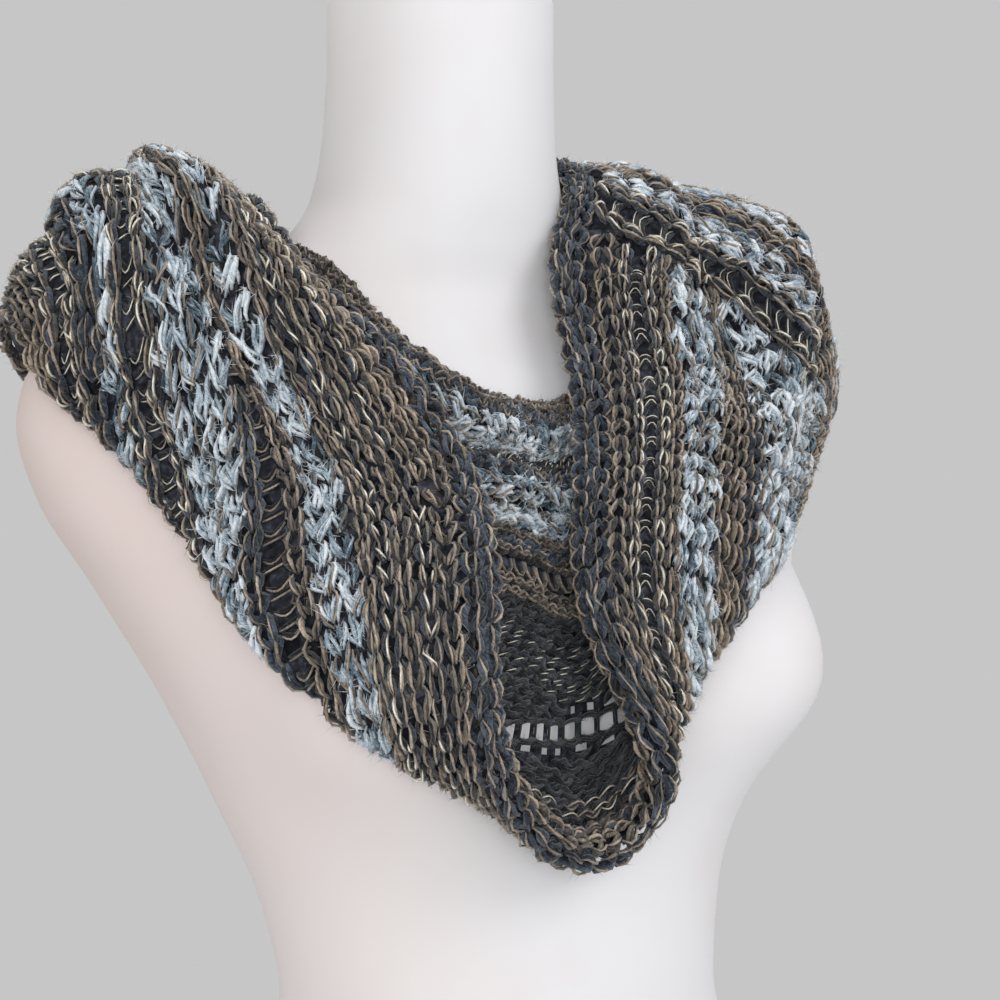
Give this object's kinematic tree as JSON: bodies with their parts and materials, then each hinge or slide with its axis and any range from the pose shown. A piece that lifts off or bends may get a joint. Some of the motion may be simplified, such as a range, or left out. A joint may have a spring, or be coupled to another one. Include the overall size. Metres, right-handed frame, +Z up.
{
  "type": "infinity scarf on a dress form",
  "caption": "Chunky knitted loop scarf worn doubled as a cowl with an open V at the front, draped on a limbless dress form that stands on its flat base.",
  "frame": {"origin": "point on the form's flat base, under the front of the neck's axis", "axes": "+Z up, -Y towards the form's front, +X towards the form's own left side"},
  "size_m": [0.4291, 0.331, 0.6865],
  "materials": {
    "form_plastic": "smooth white plastic with a soft sheen and faint fine scratches",
    "cap_plastic": "smooth white plastic",
    "edge_knit": "two chain wales of a navy and tan plied yarn, rolled over, slightly fuzzy",
    "knit": "chunky open knit in lengthwise stripes of navy and brown plied yarn, pale blue and white slub and champagne metallic thread"
  },
  "bodies": {
    "root": {"dress_form": "form_plastic", "neck_cap": "cap_plastic", "rolled_edge": "edge_knit", "right_front_flap": "knit", "right_shoulder": "knit", "back": "knit", "left_shoulder": "knit", "left_front_flap": "knit", "inner_front": "knit", "inner_back": "knit"}
  },
  "joints": []
}
